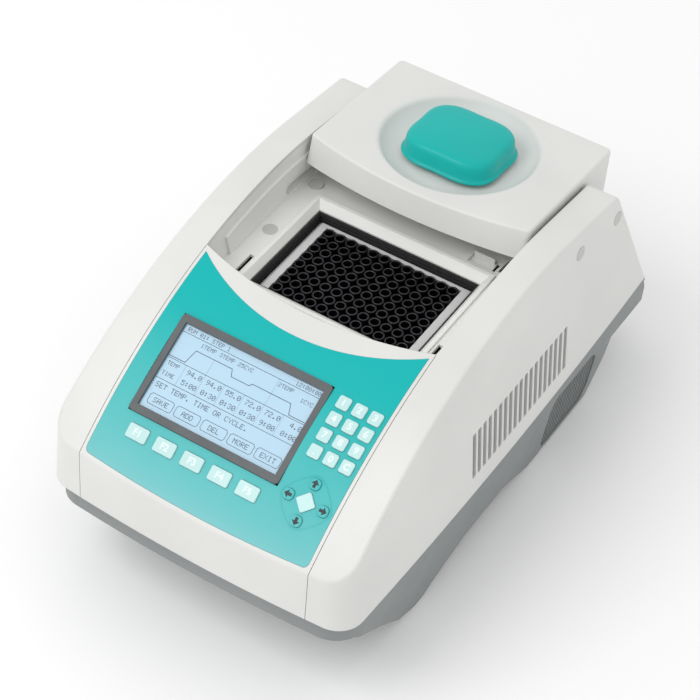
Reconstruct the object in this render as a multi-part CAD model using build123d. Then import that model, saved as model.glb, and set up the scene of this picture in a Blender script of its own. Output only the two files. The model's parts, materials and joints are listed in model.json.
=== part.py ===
from build123d import *
import math
import os

# Bench thermal cycler for 96 small tubes, with its sliding lid pushed open to the rear.
# Millimetres. Z = 0 is the bench, +Z is up, the front faces -Y and the user's right is +X.
# The origin is the middle of the footprint. The body's top and the lid's track are arcs about
# one axis parallel to X, so most pieces of the top are placed by radius and by angle on that arc.

# The sample block sets the scale: 12 by 8 wells on the standard 9 mm pitch.
WELL_PITCH = 9.0
WELL_COLUMNS = 12
WELL_ROWS = 8
WELL_MOUTH_R = 3.05
WELL_TIP_R = 1.5
WELL_DEEP = 11.5
CUP_R = 4.15
BLOCK_Y = -1.6
BLOCK_TOP = 157.0
BLOCK_LOW = BLOCK_TOP - 13.0

# The arc that the rim and the lid's track follow.
ARC_Y = BLOCK_Y + 30.0
ARC_Z = BLOCK_TOP - 310.0
RIM_R = 356.5
LID_SWING = 19.0

# Casing
FRONT_Y = -206.4
FRONT_Z = 79.0
FRONT_LEAN = 4.4
FRONT_BOW_R = 1300.0
REAR_Y = 191.4
REAR_Z = 80.0
REAR_SLOPE = 24.5
REAR_TOP_R = 9.0
RIM_STRAIGHT_FROM = 7.5
SIDE_X = 114.45
SIDE_LEAN = 3.43
SAG_LOW_Z = 69.8
SAG_R = 2117.0
CORNER_R = 19.0
CREASE_R = 2.2
WALL = 2.8
CHANNEL_X = 89.0
SEAM = 0.4

# Vent slots in the side walls
VENT_COUNT = 19
VENT_PITCH = 6.66
VENT_WIDTH = 4.2
VENT_FRONT_Y = BLOCK_Y - 46.5
VENT_LOW_Z = 86.0
VENT_TOP_Z = 127.5
VENT_TOP_DROP = 0.12

# Cavity
CAVITY_EDGE_Y = BLOCK_Y - 68.6
CAVITY_BOW_R = 300.0
DECK_TOP = BLOCK_TOP + 9.5
DECK_R = DECK_TOP - ARC_Z
DECK_THICK = 2.5
RAIL_X = 87.2
RAIL_OUT_X = 94.5
RAIL_R = 343.0
SLOT_IN_R = 322.0
SLOT_OUT_R = 330.5
SLOT_DEPTH = 4.5
SLOT_FRONT = 1.6
RAIL_FRONT_Y = BLOCK_Y - 38.5
RAIL_REAR = 21.8
TRACK_FRONT_Y = CAVITY_EDGE_Y - 1.8
TRACK_WALL = 2.5
DECK_SLOT = (74.5, BLOCK_Y - 32.9)
CATCH = (55.4, BLOCK_Y + 60.2)

# Lid, drawn closed with its floor level, then swung to the rear
LID_X = 86.4
LID_FLOOR_Z = BLOCK_TOP + 18.4
LID_FRONT_Y = BLOCK_Y - 66.8
LID_BOW_R = 310.0
LID_FRONT_TOP_Z = BLOCK_TOP + 37.4
LID_SLOPE = 13.5
LID_LENGTH = 128.2
LID_WALL = 2.5
LID_CORNER_R = 3.6
BOWL_R = 56.0
BOWL_FLOOR_R = 40.0
BOWL_DEPTH = 10.0
BOWL_BACK = 67.0
BOWL_RIM_FILLET = 4.5

# Keys, placed by X and by arc length forward of the arc's top
KEY_PROUD = 1.3
KEY_TRAVEL_GAP = 0.2
KEY_DEEP = 4.2
SOFT_KEYS = [("soft_key_%d" % (i + 1), -57.6 + 21.4 * i, 219.6, 15.5, 10.0) for i in range(5)]
PAD_NAMES = ["1", "2", "3", "4", "5", "6", "7", "8", "9", "point", "0", "clear"]
PAD_KEYS = [
    ("key_" + name, 55.0 + 11.85 * (i % 3), 142.8 + 11.85 * (i // 3), 9.0, 9.0)
    for i, name in enumerate(PAD_NAMES)
]
NAV_X = 66.0
NAV_S = 209.2
NAV_STEP = 12.8

parts = {}


def at(radius, angle, x=0.0):
    """A point by radius and by angle in degrees from straight up, positive to the rear."""
    a = math.radians(angle)
    return Vector(x, ARC_Y + radius * math.sin(a), ARC_Z + radius * math.cos(a))


def arc_angle(length):
    """The angle of a place on the rim, given its arc length forward of the top."""
    return -math.degrees(length / RIM_R)


def tangent(radius, angle, x=0.0):
    """A plane that touches the arc there: local x along +X, local y up the slope to the rear."""
    a = math.radians(angle)
    return Plane(at(radius, angle, x), x_dir=(1, 0, 0), z_dir=(0, math.sin(a), math.cos(a)))


def bar(r_in, r_out, a0, a1, x0, x1):
    """A bar that follows the arc between two radii, two angles and two X values."""
    mid = (a0 + a1) / 2
    edges = [
        ThreePointArc(at(r_out, a0, x0), at(r_out, mid, x0), at(r_out, a1, x0)),
        Line(at(r_out, a1, x0), at(r_in, a1, x0)),
        ThreePointArc(at(r_in, a1, x0), at(r_in, mid, x0), at(r_in, a0, x0)),
        Line(at(r_in, a0, x0), at(r_out, a0, x0)),
    ]
    return extrude(make_face(edges), amount=x1 - x0, dir=(1, 0, 0))


def block(x0, x1, y0, y1, z0, z1):
    """A box between two corners."""
    return Pos((x0 + x1) / 2, (y0 + y1) / 2, (z0 + z1) / 2) * Box(x1 - x0, y1 - y0, z1 - z0)


def rear_y(z, inset=0.0):
    """Y of the rear slope at a height."""
    slope = math.radians(REAR_SLOPE)
    return REAR_Y - (z - REAR_Z) * math.tan(slope) - inset / math.cos(slope)


def half_width(z, inset=0.0):
    """Half the casing's width at a height."""
    return SIDE_X - (z - BLOCK_TOP) * math.tan(math.radians(SIDE_LEAN)) - inset


def front_cutter(inset):
    """The tall leaning drum whose front is the casing's bowed front."""
    radius = FRONT_BOW_R - inset
    centre_y = FRONT_Y + FRONT_BOW_R / math.cos(math.radians(FRONT_LEAN))
    return Pos(0, centre_y, FRONT_Z) * Rot(-FRONT_LEAN, 0, 0) * Cylinder(radius, 700)


def rim_outline(inset):
    """All that lies under the rim, as (Y, Z): the arc, and the straight run to the rear."""
    start = at(RIM_R - inset, RIM_STRAIGHT_FROM)
    slope = math.radians(RIM_STRAIGHT_FROM)
    end_y, end_z = start.Y + 100 * math.cos(slope), start.Z - 100 * math.sin(slope)
    rear = make_face(Polyline((ARC_Y, 0), (end_y, 0), (end_y, end_z), (start.Y, start.Z), close=True))
    return Pos(ARC_Y, ARC_Z) * Circle(RIM_R - inset) + rear


def casing_form(inset):
    """The casing's outer form, with every wall moved in by inset and the floor left open if so."""
    low, high = 40.0, 300.0
    half_plane = make_face(Polyline(
        (-300, low), (rear_y(low, inset), low), (rear_y(high, inset), high), (-300, high), close=True))
    profile = half_plane & rim_outline(inset)
    corner = profile.vertices().filter_by(lambda v: v.Y > 150).sort_by(Axis.X)[-1]
    profile = fillet(corner, REAR_TOP_R - inset)
    if inset == 0:
        profile = profile & (Pos(0, SAG_LOW_Z + SAG_R) * Circle(SAG_R))
    form = extrude(Plane.YZ * profile, 140, both=True)
    wide, narrow = half_width(low, inset), half_width(high, inset)
    wedge = make_face(Polyline((-wide, low), (wide, low), (narrow, high), (-narrow, high), close=True))
    form = form & extrude(Plane.XZ * wedge, 400, both=True)
    form = form & front_cutter(inset)
    upright = form.edges().filter_by(lambda e: e.center().Y < -150 and abs(e.center().X) > 100
                                     and abs(e.tangent_at(0.5).Z) > 0.9)
    return fillet(upright, CORNER_R - inset)


def crease_edges(form):
    """The casing's sharp outline: both rims, round the front corners and down the rear corners."""
    def on_outline(edge):
        middle = edge.center()
        upright = middle.Y < -150 and abs(edge.tangent_at(0.5).Z) > 0.85 and abs(middle.X) > 90
        across_rear = middle.Y > 50 and abs(middle.X) < 1
        return middle.Z > 85 and not upright and not across_rear
    return form.edges().filter_by(on_outline)


def drum(y_front, radius, height=500.0):
    """An upright drum whose front touches a Y value, for the bowed edges across the cavity."""
    return Pos(0, y_front + radius, 150) * Cylinder(radius, height)


def casing_shell():
    """The whole white shell before it is divided at the seams."""
    outer = casing_form(0)
    return fillet(crease_edges(outer), CREASE_R) - casing_form(WALL)


def channel(half_x):
    """The space between the rim strips, down to the deck, and the front panel's place."""
    front = block(-half_x, half_x, -300, BLOCK_Y, 0, 400)
    return front + bar(DECK_R - DECK_THICK - 0.3, 460, -10, 45, -half_x, half_x)


def vent_slots():
    """The upright slots that go through both side walls."""
    cutters = []
    for i in range(VENT_COUNT):
        y = VENT_FRONT_Y + VENT_PITCH * i
        top = VENT_TOP_Z - VENT_TOP_DROP * i
        outline = Pos(y, (top + VENT_LOW_Z) / 2) * RectangleRounded(VENT_WIDTH, top - VENT_LOW_Z, 1.3)
        cutters.append(extrude(Plane.YZ * outline, 130, both=True))
    return cutters


SIDE_PLUGS = [(BLOCK_Y + 89.3, BLOCK_TOP + 23.3), (BLOCK_Y + 141.7, BLOCK_TOP + 15.6)]
DECK_PLUGS = [(-79.2, BLOCK_Y + 3.6), (-79.2, BLOCK_Y + 59.6), (79.2, BLOCK_Y + 3.6)]
PLUG_R = 5.3


def side_plug(y, z, side, radius, depth):
    """A short round peg square to the leaning side wall."""
    x = half_width(z)
    place = Plane((side * x, y, z), x_dir=(0, 1, 0),
                  z_dir=(side, 0, math.tan(math.radians(SIDE_LEAN))))
    return place * Pos(0, 0, -depth / 2 + 0.2) * Cylinder(radius, depth)


# Rear wall: everything on it is placed on its slope, local x to the viewer's right from behind.
REAR_MIDDLE_Z = 107.0
REAR_PLANE = Plane((0, rear_y(REAR_MIDDLE_Z), REAR_MIDDLE_Z), x_dir=(-1, 0, 0),
                   z_dir=(0, math.cos(math.radians(REAR_SLOPE)), math.sin(math.radians(REAR_SLOPE))))
REAR_PANEL_SIZE = (176.0, 42.0)
FAN_U = -52.0
FAN_R = 17.0
FAN_BLADES = 7
INLET_U = 60.0
DRAWER_U = 37.5
SWITCH_U = 15.0
PORT_U = -16.0


def on_rear(u, v, depth, shape):
    """Places a shape on the rear slope, its middle at a depth behind the surface."""
    return REAR_PLANE * Pos(u, v, -depth) * shape


def make_casing():
    """White casing: both rim strips, both sides and the rear wall."""
    casing = casing_shell() - channel(CHANNEL_X)
    casing = casing - vent_slots()
    for side in (-1, 1):
        for y, z in SIDE_PLUGS:
            casing = casing - side_plug(y, z, side, PLUG_R + 0.05, 1.4)
    width, height = REAR_PANEL_SIZE
    casing = casing - on_rear(0, 0, 0, Box(width + 0.6, height + 0.6, 12))
    return casing


OVERLAY_X = 86.3
OVERLAY_REAR_Y = BLOCK_Y - 84.9
OVERLAY_REAR_R = 160.0
OVERLAY_FRONT_MARGIN = 2.4
OVERLAY_CORNER_R = 3.5


def overlay_form(grow):
    """The overlay's outline as a thick curved sheet, moved out by grow."""
    half_x = OVERLAY_X + grow
    sheet = bar(RIM_R - 0.5, RIM_R + 6, -41, -8, -half_x, half_x) - drum(OVERLAY_REAR_Y + grow, OVERLAY_REAR_R)
    sheet = sheet & front_cutter(OVERLAY_FRONT_MARGIN - grow)
    corners = sheet.edges().filter_by(lambda e: e.center().Y < -190 and abs(e.center().X) > half_x - 1)
    return fillet(corners, OVERLAY_CORNER_R + grow)


DISPLAY_X = -14.2
DISPLAY_ANGLE = -27.65
DISPLAY_SIZE = (116.0, 72.0)
SCREEN_SIZE = (107.0, 61.0)
DISPLAY_PLANE = tangent(RIM_R - 0.4, DISPLAY_ANGLE, DISPLAY_X)


def on_display(depth, shape):
    """Places a shape in the display's plane, its middle at a depth below the frame's face."""
    return DISPLAY_PLANE * Pos(0, 0, -depth) * shape


def rounded_plate(width, height, thick, radius):
    """A flat plate with round corners, centred on its own middle."""
    return extrude(RectangleRounded(width, height, radius), thick / 2, both=True)


def key_plane(x, s):
    """The tangent plane at a key."""
    return tangent(RIM_R, arc_angle(s), x)


def nav_keys():
    """The four arrow keys and the key in their middle: name, X, arc length, width, height."""
    step = NAV_STEP
    places = [("up", 0, -step), ("left", -step, 0), ("right", step, 0), ("down", 0, step)]
    arrows = [("key_" + name, NAV_X + dx, NAV_S + ds, 7.5, 7.5) for name, dx, ds in places]
    return arrows + [("key_enter", NAV_X, NAV_S, 10.5, 10.5)]


def key_cap(name, x, s, width, height, grow=0.0):
    """A key's cap and stem. Grown, it is the hole that the key moves in."""
    top, bottom = (KEY_PROUD, -KEY_DEEP) if grow == 0 else (8.0, -12.0)
    turn = 45 if name == "key_enter" else 0
    radius = 1.6 if turn == 0 else 1.2
    if name in ("key_up", "key_left", "key_right", "key_down"):
        radius = 3.0
    outline = RectangleRounded(width + 2 * grow, height + 2 * grow, radius + grow)
    cap = extrude(Pos(0, 0, bottom) * outline, top - bottom)
    if grow == 0:
        cap = fillet(cap.faces().sort_by(Axis.Z)[-1].edges(), 0.55)
    return key_plane(x, s) * Rot(0, 0, turn) * cap


def all_keys():
    """Every key on the panel."""
    return SOFT_KEYS + PAD_KEYS + nav_keys()


def make_front_panel():
    """White centre panel with the lip that drops to the deck behind it."""
    half_x = CHANNEL_X - SEAM
    panel = casing_shell() & block(-half_x, half_x, -300, BLOCK_Y - 20, 0, 400)
    panel = panel - drum(CAVITY_EDGE_Y, CAVITY_BOW_R)
    lip = drum(CAVITY_EDGE_Y - 2.4, CAVITY_BOW_R + 2.4) - drum(CAVITY_EDGE_Y, CAVITY_BOW_R)
    lip = lip & block(-half_x, half_x, -90, BLOCK_Y - 40, DECK_TOP, 300)
    lip = lip & bar(200, RIM_R - 0.6, -20, -5, -100, 100)
    panel = panel + lip
    panel = panel - overlay_form(0)
    panel = panel - on_display(0, Box(DISPLAY_SIZE[0] + 0.4, DISPLAY_SIZE[1] + 0.4, 14))
    holes = [key_cap(*key, grow=KEY_TRAVEL_GAP) for key in all_keys()]
    return panel - holes


def make_overlay():
    """Teal sheet laid in the panel's shallow recess."""
    sheet = overlay_form(-0.15) & bar(RIM_R - 0.45, RIM_R + 0.1, -42, -7, -100, 100)
    sheet = sheet - on_display(0, Box(DISPLAY_SIZE[0] + 0.4, DISPLAY_SIZE[1] + 0.4, 14))
    return sheet - [key_cap(*key, grow=KEY_TRAVEL_GAP) for key in all_keys()]


def make_display():
    """Grey frame, the screen under it and the board behind."""
    width, height = DISPLAY_SIZE
    frame = on_display(1.0, rounded_plate(width, height, 2.0, 3.0))
    frame = frame - on_display(1.0, Box(SCREEN_SIZE[0], SCREEN_SIZE[1], 6))
    parts["display_bezel"] = frame
    parts["display_screen"] = on_display(3.5, Box(width - 3, height - 3, 3.0))
    display_board = on_display(8.0, Box(width + 2, height + 2, 1.6))
    pad_board = key_board(134, 234, 47, 86)
    soft_board = key_board(212.5, 229, -70, 40)
    parts["panel_boards"] = Compound(children=[display_board, pad_board, soft_board])


def key_board(s0, s1, x0, x1):
    """A flat switch board under a group of keys."""
    middle = tangent(RIM_R, arc_angle((s0 + s1) / 2), (x0 + x1) / 2)
    return middle * Pos(0, 0, -9.0) * Box(x1 - x0, s1 - s0, 1.6)


def make_deck():
    """Floor of the lid's channel, flat round the block and curved down to the rear."""
    flat = block(-RAIL_OUT_X, RAIL_OUT_X, CAVITY_EDGE_Y - 2.0, ARC_Y, DECK_TOP - DECK_THICK, DECK_TOP)
    curved = bar(DECK_R - DECK_THICK, DECK_R, 0, 24.5, -RAIL_OUT_X, RAIL_OUT_X)
    deck = flat + curved
    width, depth = BEZEL_SIZE
    deck = deck - Pos(0, BLOCK_Y, DECK_TOP) * Box(width - 5, depth - 5, 20)
    for x, y in DECK_PLUGS:
        deck = deck - Pos(x, y, DECK_TOP) * Cylinder(PLUG_R + 0.05, 2.4)
    slot_x, slot_y = DECK_SLOT
    for side in (-1, 1):
        deck = deck - Pos(side * slot_x, slot_y, DECK_TOP) * Box(3.2, 18.0, 20)
    deck = deck - Pos(CATCH[0] + 19.8, CATCH[1] + 4.4, DECK_TOP) * Box(12.0, 15.0, 20)
    return deck - Pos(CATCH[0] + 1.5, CATCH[1], DECK_TOP) * Box(21, 10, 20)


def rail_slot():
    """The curved slot in the right rail, open at the rear and round at its front end."""
    inner = RAIL_X - 1
    slot = bar(SLOT_IN_R, SLOT_OUT_R, SLOT_FRONT, 30, inner, RAIL_X + SLOT_DEPTH)
    end = at((SLOT_IN_R + SLOT_OUT_R) / 2, SLOT_FRONT, inner)
    round_end = Pos(0, 0, (SLOT_DEPTH + 1) / 2) * Cylinder((SLOT_OUT_R - SLOT_IN_R) / 2, SLOT_DEPTH + 1)
    return slot + Pos(end) * Rot(0, 90, 0) * round_end


def make_tracks():
    """Two side rails, each with its curved slot, under a thinner wall that runs on to the front."""
    top_r = RIM_R - WALL - 0.2
    rail = bar(DECK_R, RAIL_R, -10.9, RAIL_REAR, RAIL_X, RAIL_OUT_X)
    rail = rail + bar(RAIL_R, top_r, -10.9, RAIL_REAR, CHANNEL_X, RAIL_OUT_X) - rail_slot()
    level_part = block(RAIL_X, RAIL_OUT_X, RAIL_FRONT_Y, ARC_Y, DECK_TOP, 400)
    rail = rail & (level_part + bar(DECK_R, 400, 0, 40, RAIL_X, RAIL_OUT_X))
    wall = bar(DECK_R - 30, top_r, -25, 0, CHANNEL_X, CHANNEL_X + TRACK_WALL)
    wall = wall & block(0, 200, TRACK_FRONT_Y, BLOCK_Y, DECK_TOP, 400)
    rail = (rail + wall) & casing_form(WALL + 0.3)
    return Compound(children=[rail, mirror(rail, Plane.YZ)])


BEZEL_SIZE = (142.0, 101.0)
WELL_AREA = (129.0, 84.0)
GASKET_THICK = 1.6


def make_bezel():
    """White frame round the block: a raised lip and a band that slopes down to the gasket."""
    width, depth = BEZEL_SIZE
    inner_w, inner_d = WELL_AREA
    lip_top, low = DECK_TOP + 1.6, DECK_TOP - 4.5
    body = Pos(0, BLOCK_Y, (lip_top + low) / 2) * Box(width - 5.6, depth - 5.6, lip_top - low)
    flange = Pos(0, BLOCK_Y, DECK_TOP + 0.8) * Box(width, depth, 1.6)
    frame = body + flange
    funnel = loft([
        Pos(0, BLOCK_Y, lip_top + 0.01) * Rectangle(width - 6, depth - 6),
        Pos(0, BLOCK_Y, low + 1.2) * Rectangle(inner_w, inner_d),
    ])
    return frame - funnel - Pos(0, BLOCK_Y, low) * Box(inner_w, inner_d, 30)


def make_gasket():
    """Black ribbed wall between the bezel and the block's channel."""
    width, depth = WELL_AREA
    inner_w, inner_d = width - 2 * GASKET_THICK, depth - 2 * GASKET_THICK
    low, high = BLOCK_TOP - 3.0, BLOCK_TOP + 5.0
    wall = Pos(0, BLOCK_Y, (low + high) / 2) * Box(width + 3, depth + 3, high - low)
    wall = wall - Pos(0, BLOCK_Y, low) * Box(inner_w, inner_d, 60)
    rib = Box(inner_w, inner_d, 1.0) - Box(inner_w - 1.4, inner_d - 1.4, 2)
    return wall + [Pos(0, BLOCK_Y, low + 1.6 + 2.4 * i) * rib for i in range(3)]


BLOCK_BASE = (110.0, 74.0)
BLOCK_BASE_TOP = BLOCK_TOP - 8.5
FRAME_TOP = BLOCK_TOP - 1.0


def make_block_frame():
    """Light grey frame on the rim of the block's base, with a flange over the channel."""
    width, depth = BLOCK_BASE
    frame = Pos(0, BLOCK_Y, FRAME_TOP - 4.5) * Box(width + 10.0, depth + 4.6, 9.0)
    frame = fillet(frame.faces().sort_by(Axis.Z)[-1].edges(), 0.8)
    frame = frame + Pos(0, BLOCK_Y, FRAME_TOP - 3.2) * Box(width + 13.8, depth + 5.0, 2.0)
    frame = frame - Pos(0, BLOCK_Y, FRAME_TOP) * Box(width - 2.0, depth - 2.0, 40)
    return frame - Pos(0, BLOCK_Y, BLOCK_BASE_TOP - 4.8) * Box(width + 0.5, depth + 0.5, 10.0)


def make_sample_block():
    """Black block: a base plate and 96 tapered cups."""
    standing = (Align.CENTER, Align.CENTER, Align.MIN)
    width, depth = BLOCK_BASE
    base = Pos(0, BLOCK_Y, (BLOCK_LOW + BLOCK_BASE_TOP) / 2) * Box(width, depth, BLOCK_BASE_TOP - BLOCK_LOW)
    cup = Cylinder(CUP_R, BLOCK_TOP - BLOCK_BASE_TOP + 0.5, align=standing)
    well = Cone(WELL_TIP_R, WELL_MOUTH_R, WELL_DEEP + 0.1, align=standing)
    grid = GridLocations(WELL_PITCH, WELL_PITCH, WELL_COLUMNS, WELL_ROWS)
    cups = [Pos(0, BLOCK_Y, BLOCK_BASE_TOP - 0.5) * place * cup for place in grid]
    wells = [Pos(0, BLOCK_Y, BLOCK_TOP - WELL_DEEP) * place * well for place in grid]
    return (base + cups) - wells


TILE_THICK = 3.6


def make_peltiers():
    """Eight thermoelectric tiles between the block and the heat sink."""
    z = BLOCK_LOW - TILE_THICK / 2
    return Compound(children=[Pos(0, BLOCK_Y, z) * place * Box(25, 33, TILE_THICK)
                              for place in GridLocations(27, 36, 4, 2)])


HEAT_SINK_TOP = BLOCK_LOW - TILE_THICK
HEAT_SINK_LOW = 88.0
SINK_PLATE = 8.0
FIN_COUNT = 25
FIN_PITCH = 5.0


def make_heat_sink():
    """Aluminium plate with upright fins that run front to back."""
    plate = Pos(0, BLOCK_Y, HEAT_SINK_TOP - SINK_PLATE / 2) * Box(130, 96, SINK_PLATE)
    height = HEAT_SINK_TOP - SINK_PLATE - HEAT_SINK_LOW + 0.4
    fin = Box(1.4, 90, height)
    return plate + [Pos(0, BLOCK_Y, HEAT_SINK_LOW + height / 2) * place * fin
                    for place in GridLocations(FIN_PITCH, FIN_PITCH, FIN_COUNT, 1)]


def make_standoffs():
    """Four posts from the base pan's floor to the heat sink's plate."""
    low, high = ARCH_FLOOR_TOP, HEAT_SINK_TOP - SINK_PLATE
    post = Cylinder(2.4, high - low)
    return [Pos(x, BLOCK_Y + y, (low + high) / 2) * post for x in (-65.4, 65.4) for y in (-44.5, 44.5)]


# Base pan: its side outline, as (Y, Z), from the front band round the feet to the rear.
BASE_FRONT_SINK = 3.5
BASE_CORNER_R = 22.5
BASE_REAR_Y = 206.4
BASE_REAR_HALF = 120.0
BASE_REAR_R = 16.0
LIP_STEP = 0.8
LIP_TALL = 6.5
BASE_LOW_X = 111.0
BASE_TOP_X = 119.5
BASE_FLOOR_THICK = 3.0
ARCH_FLOOR = 15.5
ARCH_FLOOR_TOP = ARCH_FLOOR + BASE_FLOOR_THICK
FEET_Z = 2.0
BASE_OUTLINE = [
    (-215, 67), (-186, 61), (-150, 33), (-125, 11), (-108, 4), (-103, FEET_Z), (-93, FEET_Z), (-84, 6),
    (-64, 11), (-43, ARCH_FLOOR), (9, ARCH_FLOOR), (29, 9), (46, FEET_Z), (130, FEET_Z), (138, 12), (150, 27),
    (156, 44), (BASE_REAR_Y, 44), (BASE_REAR_Y, 47), (190.0, 83), (190.0, 100), (-215, 100),
]


def under_sag(drop):
    """All that lies above the casing's sagging lower edge, or above a line so far below it."""
    return extrude(Plane.YZ * (Pos(0, SAG_LOW_Z + SAG_R) * Circle(SAG_R + drop)), 160, both=True)


def base_form(inset):
    """The base pan's outer form, moved in by inset, its top still above the casing's edge."""
    outline = make_face(Polyline(*BASE_OUTLINE, close=True))
    if inset > 0:
        outline = offset(outline, -inset)
    form = extrude(Plane.YZ * outline, 140, both=True)
    top_half, low_half = BASE_TOP_X - inset, BASE_LOW_X - inset
    wedge = make_face(Polyline((-low_half, 0), (low_half, 0), (top_half, 100), (-top_half, 100), close=True))
    form = form & extrude(Plane.XZ * wedge, 400, both=True)
    form = form & front_cutter(BASE_FRONT_SINK + inset)
    upright = form.edges().filter_by(lambda e: e.center().Y < -150 and abs(e.center().X) > 100
                                     and abs(e.tangent_at(0.5).Z) > 0.9)
    form = fillet(upright, BASE_CORNER_R - inset)
    plan = RectangleRounded(2 * (BASE_REAR_HALF - inset), 2 * (BASE_REAR_Y - inset) + 200, BASE_REAR_R - inset)
    return form & extrude(Pos(0, -100) * plan, 200)


GRILLE_OUTLINE = [(66, 5.2), (121, 5.2), (129, 17), (133, 44), (126, 51), (75, 51), (68, 44), (63, 13)]


def grille_face(grow):
    """The rounded patch of mesh on each side of the rear foot, as (Y, Z)."""
    face = make_face(Polyline(*GRILLE_OUTLINE, close=True))
    face = fillet(face.vertices(), 5.0)
    return offset(face, grow) if grow else face


def make_base_pan():
    """Grey lower housing with its arched floor, closed by the casing above."""
    lip = base_form(-LIP_STEP) & under_sag(LIP_TALL)
    pan = base_form(0) + lip - base_form(BASE_FLOOR_THICK) - under_sag(0.5)
    return pan - extrude(Plane.YZ * grille_face(0), 160, both=True)


def make_grilles():
    """Two thin mesh plates set in the openings of the base pan."""
    plates = []
    solid = extrude(Plane.YZ * grille_face(-0.2), 160, both=True)
    skin = (base_form(0.8) - base_form(2.0)) & solid
    for x0, x1 in ((-200, 0), (0, 200)):
        plates.append(skin & block(x0, x1, -300, 300, 0, 300))
    return Compound(children=plates)


FEET = [(x, y, radius) for x in (-84.0, 84.0) for y, radius in ((-98.0, 5.0), (88.0, 9.0))]


def make_feet():
    """Four rubber feet under the base pan's own feet."""
    return Compound(children=[Pos(x, y, FEET_Z / 2) * Cylinder(radius, FEET_Z) for x, y, radius in FEET])


def make_rear_panel():
    """Rear panel with the fan's ring slots, the socket holes and the switch's frame."""
    width, height = REAR_PANEL_SIZE
    panel = on_rear(0, 0, 1.2, rounded_plate(width, height, 2.0, 2.0))
    holes = [(INLET_U, 28.4, 20.4), (DRAWER_U, 12.4, 20.4), (SWITCH_U, 13.4, 20.4), (PORT_U, 12.6, 11.4)]
    for u, wide, tall in holes:
        panel = panel - on_rear(u, 0, 0, Box(wide, tall, 20))
    for ring in range(4):
        inner = 3.0 + 3.8 * ring
        slot = Circle(inner + 2.0) - Circle(inner) - Rectangle(2.4, 60) - Rectangle(60, 2.4)
        panel = panel - [on_rear(FAN_U, 0, 10, extrude(slot, 20))]
    frame = on_rear(SWITCH_U, 0, 7.0, Box(13, 20, 14))
    frame = frame + on_rear(SWITCH_U, 0, -0.6, rounded_plate(16, 23, 1.6, 1.5))
    return panel + frame - on_rear(SWITCH_U, 0, 5.0, Box(11, 17.5, 14))


def make_power_inlet():
    """Mains inlet: a rounded socket with three blades."""
    inlet = on_rear(INLET_U, 0, 9.0, Box(28, 20, 18))
    inlet = inlet + on_rear(INLET_U, 0, -0.6, rounded_plate(31, 23, 1.6, 2))
    inlet = inlet - on_rear(INLET_U, 0, 5.0, rounded_plate(25, 17, 15, 3))
    for u, v in ((-7, 2), (0, -2), (7, 2)):
        inlet = inlet + on_rear(INLET_U + u, v, 10.0, Box(2, 4, 9))
    return inlet


def make_fuse_drawer():
    """Fuse drawer beside the inlet."""
    drawer = on_rear(DRAWER_U, 0, 8.0, Box(12, 20, 16))
    return drawer + on_rear(DRAWER_U, 0, -0.6, rounded_plate(11, 16, 1.4, 1.5))


def make_data_port():
    """Square data socket with its tongue."""
    port = on_rear(PORT_U, 0, 5.5, Box(12, 10.8, 13)) - on_rear(PORT_U, 0, 0, Box(8.6, 7.6, 14))
    return port + on_rear(PORT_U, 0, 4.0, Box(5, 2, 7))


ROCKER_DEPTH = 6.2
ROCKER_R = 8.2
ROCKER_TILT = 9.0


def make_rocker():
    """Rocker cap, tilted to off at rest, turning about a line along X behind the surface."""
    wide = ROCKER_R
    hollow = make_face(Polyline((-wide, -1), (wide, -1), (wide, 7.5), (0, 5.4), (-wide, 7.5), close=True))
    cap = extrude(Plane.YZ * (Circle(wide) & hollow), 5.3, both=True)
    return REAR_PLANE * Pos(SWITCH_U, 0, -ROCKER_DEPTH) * Rot(ROCKER_TILT, 0, 0) * cap


def make_fan():
    """Square fan frame behind the rear panel, with its bladed rotor."""
    frame = on_rear(FAN_U, 0, 9.2, rounded_plate(40, 40, 13.5, 3))
    frame = frame - on_rear(FAN_U, 0, 9.2, Cylinder(FAN_R + 1.2, 20))
    spider = on_rear(FAN_U, 0, 15.0, Cylinder(7.0, 1.9))
    for turn in (45, 135):
        spider = spider + on_rear(FAN_U, 0, 15.0, Rot(0, 0, turn) * Box(39, 2.4, 1.9))
    pin = on_rear(FAN_U, 0, 11.0, Cylinder(1.5, 7.0))
    parts["fan_housing"] = frame + spider + pin
    hub = Cylinder(6.5, 9.0) - Pos(0, 0, -2) * Cylinder(1.55, 9.0)
    blade = Pos(11.0, 0, 0) * Rot(38, 0, 0) * Box(11.0, 1.2, 9.5)
    rotor = hub
    for i in range(FAN_BLADES):
        rotor = rotor + Rot(0, 0, i * 360 / FAN_BLADES) * blade
    parts["fan_rotor"] = on_rear(FAN_U, 0, 8.5, rotor)


# Lid. Everything on it is drawn closed, with its floor level, and swung to the rear at the end.
LID_COS = math.cos(math.radians(LID_SLOPE))
LID_SIN = math.sin(math.radians(LID_SLOPE))
BOWL_PLANE = Plane(
    (0, LID_FRONT_Y + BOWL_BACK * LID_COS, LID_FRONT_TOP_Z + BOWL_BACK * LID_SIN),
    x_dir=(1, 0, 0), z_dir=(0, -LID_SIN, LID_COS))
KNOB_R = 37.3
KNOB_LOBE = 3.0
KNOB_SQUASH = 0.9
KNOB_TOP = 9.8
KNOB_LOW = -6.8
NUT_R = 8.0
NUT_LOW = -15.5
NUT_TOP = 6.5
SCREW_R = 4.0
PLATE_SIZE = (116.0, 80.0)
PLATE_LOW_Z = LID_FLOOR_Z - 0.9
SHOE_FRONT = 1.7
SHOE_REAR = 3.3


def swung(shape):
    """Swings a closed lid piece back to where it rests when the lid is open."""
    axis = Axis((0, ARC_Y, ARC_Z), (1, 0, 0))
    return shape.rotate(axis, -LID_SWING)


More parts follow.
